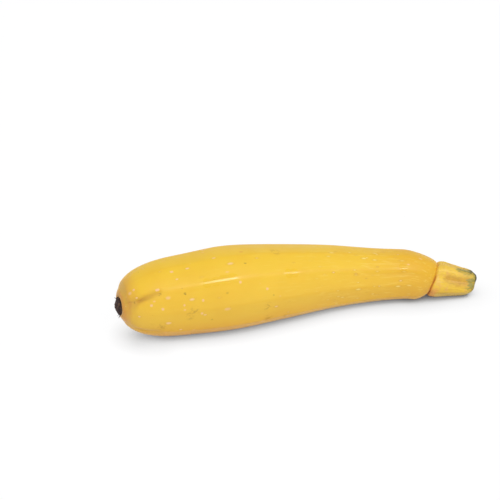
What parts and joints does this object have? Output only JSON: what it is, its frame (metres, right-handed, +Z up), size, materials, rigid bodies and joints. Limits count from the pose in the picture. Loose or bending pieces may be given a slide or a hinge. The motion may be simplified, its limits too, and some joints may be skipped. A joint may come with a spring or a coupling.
{
  "type": "yellow zucchini",
  "caption": "Yellow zucchini as picked, lying on its side: slightly bowed fruit with soft lengthwise furrows, the stub of its cut stem and a dry blossom scar.",
  "frame": {"origin": "centre of the bounding box, on the surface that the zucchini rests on", "axes": "+X along the length, from the blossom end to the cut stem; +Z up; the middle of the fruit bows towards +Y"},
  "size_m": [0.2016, 0.0466, 0.0435],
  "materials": {
    "rind": "waxy yellow zucchini rind, satin gloss, with fine pale flecks",
    "stem": "ribbed yellow stem, matte, olive and brown towards the cut",
    "scar": "dry dark brown corky tissue"
  },
  "bodies": {
    "root": {"fruit": "rind", "stem": "stem", "blossom_scar": "scar"}
  },
  "joints": []
}
